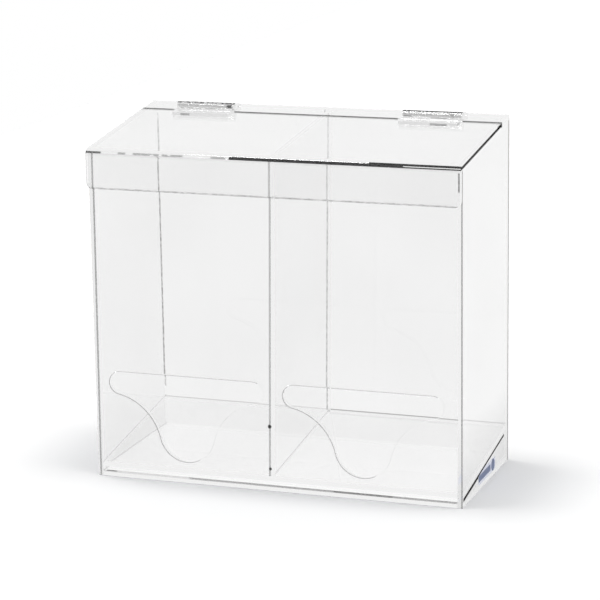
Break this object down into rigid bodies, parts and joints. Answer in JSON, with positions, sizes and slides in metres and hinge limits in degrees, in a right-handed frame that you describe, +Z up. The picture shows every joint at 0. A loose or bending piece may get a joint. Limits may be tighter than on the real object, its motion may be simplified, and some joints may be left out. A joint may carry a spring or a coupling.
{
  "type": "disposable glove dispenser",
  "caption": "Clear acrylic countertop bin with side-by-side compartments, a sloped floor, funnel-shaped front openings and a hinged lid, for loose disposable gloves.",
  "frame": {"origin": "centre of the base panel's underside", "axes": "+X to the right seen from the front, +Y to the back, +Z up"},
  "size_m": [0.3801, 0.1765, 0.3607],
  "materials": {
    "clear_acrylic": "clear cast acrylic sheet with polished faces and flame-polished edges",
    "hinge_acrylic": "clear moulded acrylic",
    "pin_acrylic": "clear extruded acrylic rod",
    "label_vinyl": "blank blue vinyl sticker with a pale edge"
  },
  "bodies": {
    "dispenser": {"base_panel": "clear_acrylic", "left_side_panel": "clear_acrylic", "right_side_panel": "clear_acrylic", "front_panel": "clear_acrylic", "back_panel": "clear_acrylic", "sloped_floor": "clear_acrylic", "divider": "clear_acrylic", "hinge_rail": "clear_acrylic", "left_hinge_rail_leaf": "hinge_acrylic", "right_hinge_rail_leaf": "hinge_acrylic", "left_hinge_pin": "pin_acrylic", "right_hinge_pin": "pin_acrylic", "side_label": "label_vinyl"},
    "lid": {"lid": "clear_acrylic", "left_hinge_lid_leaf": "hinge_acrylic", "right_hinge_lid_leaf": "hinge_acrylic"}
  },
  "joints": [
    {"name": "lid_hinge", "type": "hinge", "parent": "dispenser", "child": "lid", "pos_m": [0, 0.05511, 0.35662], "axis": [-1, 0, 0], "range_deg": [0, 180]}
  ]
}
